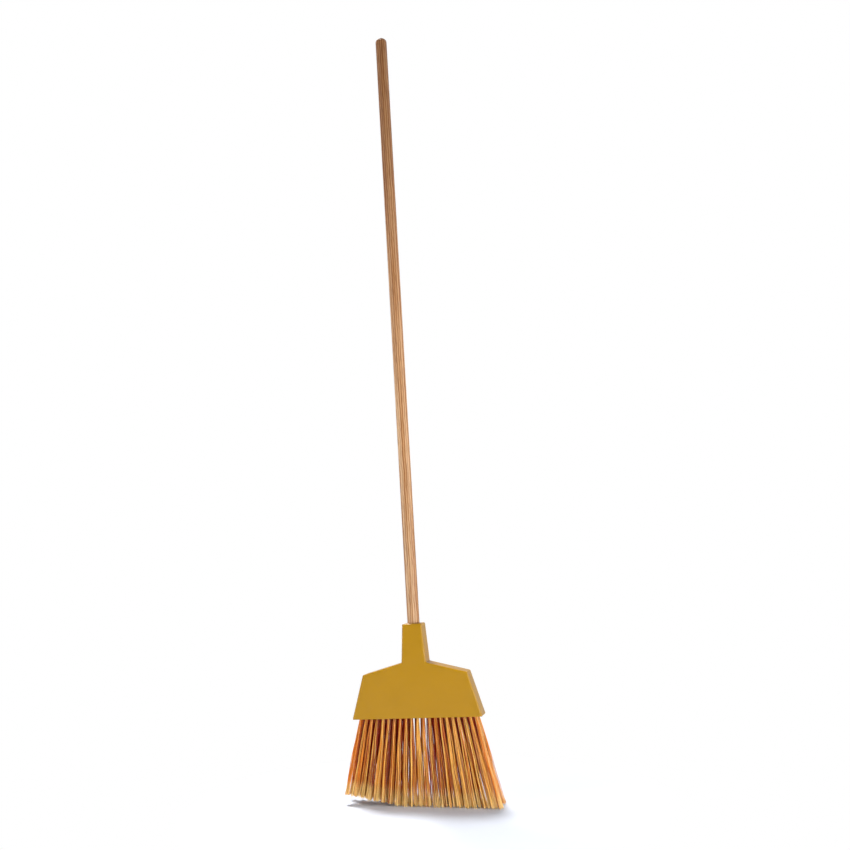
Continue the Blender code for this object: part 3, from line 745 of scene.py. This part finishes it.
def extrudedPetFilament():
    # Extruded polyester filament: golden brown and slightly glassy, each one a little lighter or darker, with
    # bleached tips where the split ends scatter the light. Inside the tufts, near the tray, the colour turns
    # to a
    # deep red brown: painted shade, for the light lost on its way through other filaments. Some filaments,
    # more of them towards the right end, are pale all along: painted highlights.
    material, shader = newMaterial("extrudedPetFilament")
    tone, pale, shade = (
        addNode(material, "ShaderNodeAttribute", {"attribute_name": name}, {}).outputs["Fac"]
        for name in ("tone", "pale", "shade")
    )
    gold = addNode(material, "ShaderNodeValToRGB", {"stops": bristleColours["tones"]},
                   {"Fac": tone}).outputs[0]
    # painted shade inside the brush
    withPaintedShade = addNode(material, "ShaderNodeMix", {
        "data_type": "RGBA", 7: hexColour(bristleColours["paintedShadeColour"]),
    }, {0: shade, 6: gold}).outputs[2]
    # pale split ends, and painted highlights along whole filaments
    colour = addNode(material, "ShaderNodeMix", {
        "data_type": "RGBA", 7: hexColour(bristleColours["paleColour"]),
    }, {0: pale, 6: withPaintedShade}).outputs[2]
    material.node_tree.links.new(colour, shader.inputs["Base Color"])
    shader.inputs["Roughness"].default_value = 0.35
    shader.inputs["IOR"].default_value = 1.57
    shader.inputs["Specular IOR Level"].default_value = 0.35
    return material


def fusedPolyester():
    # The filaments' melted ends: the same polyester, darker and glossier where it has flowed together.
    material, shader = newMaterial("fusedPolyester")
    place = addNode(material, "ShaderNodeTexCoord", {}, {}).outputs["Object"]
    lumps = addNode(material, "ShaderNodeTexNoise", {
        "Scale": 1000 / bristleColours["lumpSize"], "Detail": 2.0,
    }, {"Vector": place}).outputs["Fac"]
    colour = addNode(material, "ShaderNodeValToRGB", {"stops": bristleColours["backingTones"]},
                     {"Fac": lumps}).outputs[0]
    bump = addNode(material, "ShaderNodeBump", {"Strength": 0.5, "Distance": 0.0004},
                   {"Height": lumps}).outputs[0]
    material.node_tree.links.new(colour, shader.inputs["Base Color"])
    material.node_tree.links.new(bump, shader.inputs["Normal"])
    shader.inputs["Roughness"].default_value = 0.3
    shader.inputs["IOR"].default_value = 1.57
    return material


def backingSlice(column, x):
    # A column's slice of the backing: its sides step by half a pitch between the outer rows and the middle
    # one. Rings go up from an inset one to the full outline and back, and an inset moves a corner by
    # -edge * (n1 + n2).
    top = tufts["backingBottom"] + tufts["backingThickness"]
    rise = (tufts["backingBottom"] - tufts["trayUnderside"]) / tufts["fanApexHeight"]
    pitch = tufts["pitch"] * (1 - rise)
    halfWidth, halfDepth = trayHigh[:2] - tufts["backingInset"]
    halfGap, halfRow = tufts["sliceGap"] / 2, tufts["rowSpacing"] / 2
    across = np.array([-halfDepth, -halfRow, -halfRow, halfRow, halfRow, halfDepth])
    step = np.array([0, 0, 1, 1, 0, 0]) * pitch / 2
    narrow = np.array([0, 1, 1, -1, -1, 0]) * halfGap
    right = np.stack([x * (1 - rise) + pitch / 2 - halfGap + step, across + narrow], axis=1)
    left = np.stack([x * (1 - rise) - pitch / 2 + halfGap + step, across - narrow], axis=1)
    if column == tufts["columns"]:
        right = np.array([(halfWidth, -halfDepth), (halfWidth, halfDepth)])
    if column == 1:
        left = np.array([(-halfWidth, -halfDepth), (-halfWidth, halfDepth)])
    outline = np.concatenate([right, left[::-1]])
    run = np.roll(outline, -1, axis=0) - outline
    normal = np.stack([run[:, 1], -run[:, 0]], axis=1) / np.linalg.norm(run, axis=1)[:, None]
    edge = tufts["backingEdge"]
    inset = -edge * (normal + np.roll(normal, 1, axis=0))
    rings = [(tufts["backingBottom"], 1), (tufts["backingBottom"] + edge, 0), (top - edge, 0), (top, 1)]
    points = np.concatenate([np.column_stack([outline + share * inset, np.full(len(outline), level)])
                             for level, share in rings])
    return points, closedFaces(len(rings), len(outline))


def makeColumn(column, materials, random):
    # The front, middle and back tuft of one place along the head, with their filaments, split ends and
    # backing as one mesh, and the colour values of each point.
    x = (column - (tufts["columns"] + 1) / 2) * tufts["pitch"]
    end = {1: -1, tufts["columns"]: 1}.get(column, 0)     # at the left end, at the right one or between them
    places = {"front": (x, -tufts["rowSpacing"])}
    if column < tufts["columns"]:
        places["middle"] = (x + tufts["pitch"] / 2, 0)
    if column not in tufts["withoutBackTuft"]:
        places["back"] = (x, tufts["rowSpacing"])
    made = []
    for number, (row, (tuftX, tuftY)) in enumerate(places.items()):
        turn = math.radians((column * 3 + number) * tufts["ringTurn"])
        # strength of the painted shade, lower in middle tufts that have no tuft behind them
        bare = row == "middle" and {column, column + 1} & set(tufts["withoutBackTuft"])
        paintedShadeCover = bristleColours["shade"] * (bristleColours["openPaintedShade"] if bare else 1)
        paths = tuftPaths(tuftX, tuftY, turn, row, end, random)
        made.append((paths, *tuftColours(paths, tuftX, row, end, paintedShadeCover, random)))
    # from here on a filament is one row, whichever tuft, bundle and clump it is in
    paths, tones, pales, paintedHighlights, paintedShades = (
        np.concatenate([part.reshape(-1, *part.shape[3:]) for part in parts]) for parts in zip(*made)
    )
    fromTip = paths[..., 2] - paths[:, -1:, 2]
    split = np.clip(2 * (1 - fromTip / filaments["splitLength"]), 0, 1)
    radii = filaments["radius"] * (1 - filaments["tipTaper"] * split)
    body, bodyQuads = tubes(paths, radii, random.uniform(0, math.pi / 2, len(paths)))
    ends = splitEnds(paths, random)
    hairRadii = np.full(ends.shape[:2], filaments["hairRadius"])
    hair, hairQuads = tubes(ends, hairRadii, random.uniform(0, math.pi / 2, len(ends)))
    backing, backingFaces = backingSlice(column, x)
    faces = np.concatenate([bodyQuads, hairQuads + len(body)]).tolist()
    filamentFaces = len(faces)
    backingStart = len(body) + len(hair)
    faces += [[backingStart + corner for corner in face] for face in backingFaces]
    piece = makePiece(f"bristles_{column:02d}", np.concatenate([body, hair, backing]), faces, materials,
                      "head", [f"tuft_column_{column:02d}"],
                      math.radians(filaments["smoothAngle"]))
    kinds = (np.arange(len(faces)) >= filamentFaces).astype(np.int32)     # 0 filament, 1 backing
    piece.data.polygons.foreach_set("material_index", kinds)
    hairPoints = len(hair) // len(tones)
    # pale split ends, raised to the painted highlight where a filament has one
    paleEndsAndHighlights = np.maximum(split * pales[:, None], paintedHighlights[:, None])
    plain = np.zeros(len(backing))
    # for each point: tone; pale, of split ends and painted highlights; painted shade
    values = {
        "tone": (np.repeat(tones, 4 * filaments["rings"]), np.repeat(tones, hairPoints), plain),
        "pale": (np.repeat(paleEndsAndHighlights.ravel(), 4), np.repeat(pales, hairPoints), plain),
        "shade": (np.repeat(paintedShades.ravel(), 4), np.zeros(len(hair)), plain),
    }
    for name, parts in values.items():
        layer = piece.data.attributes.new(name, "FLOAT", "POINT")
        layer.data.foreach_set("value", np.concatenate(parts).astype(np.float32))


bristleMaterials = [extrudedPetFilament(), fusedPolyester()]
randomness = np.random.default_rng(filaments["seed"])
for column in range(1, tufts["columns"] + 1):
    makeColumn(column, bristleMaterials, randomness)
print("bristles:", tufts["columns"], "columns")


# Floor and light

studio = {
    "floorSize": 12.0,
    "floorColour": "#D6DBE4",
    "clearRadius": (0.22, 0.45),   # where the floor's own shading gives way to plain white
    "worldColour": "#E4ECFF",
    "frontLight": 0.05,            # the surroundings' strength in front of the broom, as it sees them
    "backLight": 0.15,             # and behind it
    "backShine": 0.62,             # behind it, in reflections
    "sides": (-0.9, 0.5),          # Y of a direction, from the front's strength to the back's
    "boxes": {                     # degrees right of the front, distance, middle, width, height, watts
        "leftStrip": (-48, 2.2, 1.25, 0.12, 2.4, 20),
        "rightStrip": (80, 2.2, 1.45, 0.12, 2.0, 9),
        "leftBox": (-62, 2.2, 0.60, 0.6, 1.20, 8),
        "rightBox": (76, 2.2, 0.60, 0.6, 1.20, 24),
        "lowBox": (36, 1.5, 0.12, 0.7, 0.2, 8.5),
    },
    "tops": {                      # place, size and watts
        "topBack": ((-1.25, 1.29, 5.0), (1.04, 1.46), 335),
        "topFront": ((-0.10, -0.45, 2.4), (0.8, 0.6), 3),
    },
}


def makeFloor():
    # a white floor that keeps the broom's shadow and is plain white to the camera further out
    mesh = bpy.data.meshes.new("floor")
    reach = studio["floorSize"] / 2
    corners = [(-reach, -reach, 0), (reach, -reach, 0), (reach, reach, 0), (-reach, reach, 0)]
    mesh.from_pydata(corners, [], [(0, 1, 2, 3)])
    floor = bpy.data.objects.new("floor", mesh)
    bpy.context.scene.collection.objects.link(floor)
    material, shader = newMaterial("whitePaper")
    shader.inputs["Base Color"].default_value = hexColour(studio["floorColour"])
    shader.inputs["Roughness"].default_value = 0.9
    shader.inputs["Specular IOR Level"].default_value = 0.0
    place = addNode(material, "ShaderNodeTexCoord", {}, {}).outputs["Object"]
    distance = addNode(material, "ShaderNodeVectorMath", {"operation": "LENGTH"}, {0: place}).outputs["Value"]
    near, far = studio["clearRadius"]
    fade = addNode(material, "ShaderNodeMapRange", {
        "interpolation_type": "SMOOTHSTEP", "From Min": near, "From Max": far,
    }, {"Value": distance}).outputs[0]
    ray = addNode(material, "ShaderNodeLightPath", {}, {}).outputs["Is Camera Ray"]
    share = addNode(material, "ShaderNodeMath", {"operation": "MULTIPLY"}, {0: ray, 1: fade}).outputs[0]
    white = addNode(material, "ShaderNodeEmission", {"Color": (1, 1, 1, 1)}, {}).outputs[0]
    mixed = addNode(material, "ShaderNodeMixShader", {},
                    {0: share, 1: shader.outputs[0], 2: white}).outputs[0]
    material.node_tree.links.new(mixed, material.node_tree.nodes["Material Output"].inputs["Surface"])
    mesh.materials.append(material)


def makeWorld():
    # white to the camera; to everything else dim in front of the broom and bright behind it
    world = bpy.data.worlds.new("studio")
    world.use_nodes = True
    bpy.context.scene.world = world
    direction = addNode(world, "ShaderNodeTexCoord", {}, {}).outputs["Generated"]
    depth = addNode(world, "ShaderNodeSeparateXYZ", {}, {0: direction}).outputs["Y"]
    ray = addNode(world, "ShaderNodeLightPath", {}, {})
    back = addNode(world, "ShaderNodeMix", {2: studio["backLight"], 3: studio["backShine"]},
                   {0: ray.outputs["Is Glossy Ray"]}).outputs[0]
    front, behind = studio["sides"]
    around = addNode(world, "ShaderNodeMapRange", {
        "interpolation_type": "SMOOTHSTEP", "From Min": front, "From Max": behind,
        "To Min": studio["frontLight"],
    }, {"Value": depth, "To Max": back}).outputs[0]
    seen = ray.outputs["Is Camera Ray"]
    strength = addNode(world, "ShaderNodeMix", {3: 1.0}, {0: seen, 2: around}).outputs[0]
    colour = addNode(world, "ShaderNodeMix", {
        "data_type": "RGBA", 6: hexColour(studio["worldColour"]), 7: (1, 1, 1, 1),
    }, {0: seen}).outputs[2]
    background = world.node_tree.nodes["Background"]
    world.node_tree.links.new(strength, background.inputs["Strength"])
    world.node_tree.links.new(colour, background.inputs["Color"])


def softBox(name, place, target, size, watts):
    # an area lamp that faces its target
    data = bpy.data.lights.new(name, "AREA")
    data.shape = "RECTANGLE"
    data.size, data.size_y = size
    data.energy = watts
    lamp = bpy.data.objects.new(name, data)
    lamp.location = place
    lamp.rotation_euler = (Vector(target) - Vector(place)).to_track_quat("-Z", "Y").to_euler()
    bpy.context.scene.collection.objects.link(lamp)


makeFloor()
makeWorld()
for name, (azimuth, distance, middle, width, height, watts) in studio["boxes"].items():
    angle = math.radians(azimuth)
    place = (distance * math.sin(angle), -distance * math.cos(angle), middle)
    softBox(name, place, (0, 0, middle), (width, height), watts)
for name, (place, size, watts) in studio["tops"].items():
    softBox(name, place, (0, 0, 0), size, watts)
bpy.context.scene.view_settings.view_transform = "Standard"
print("studio: set")
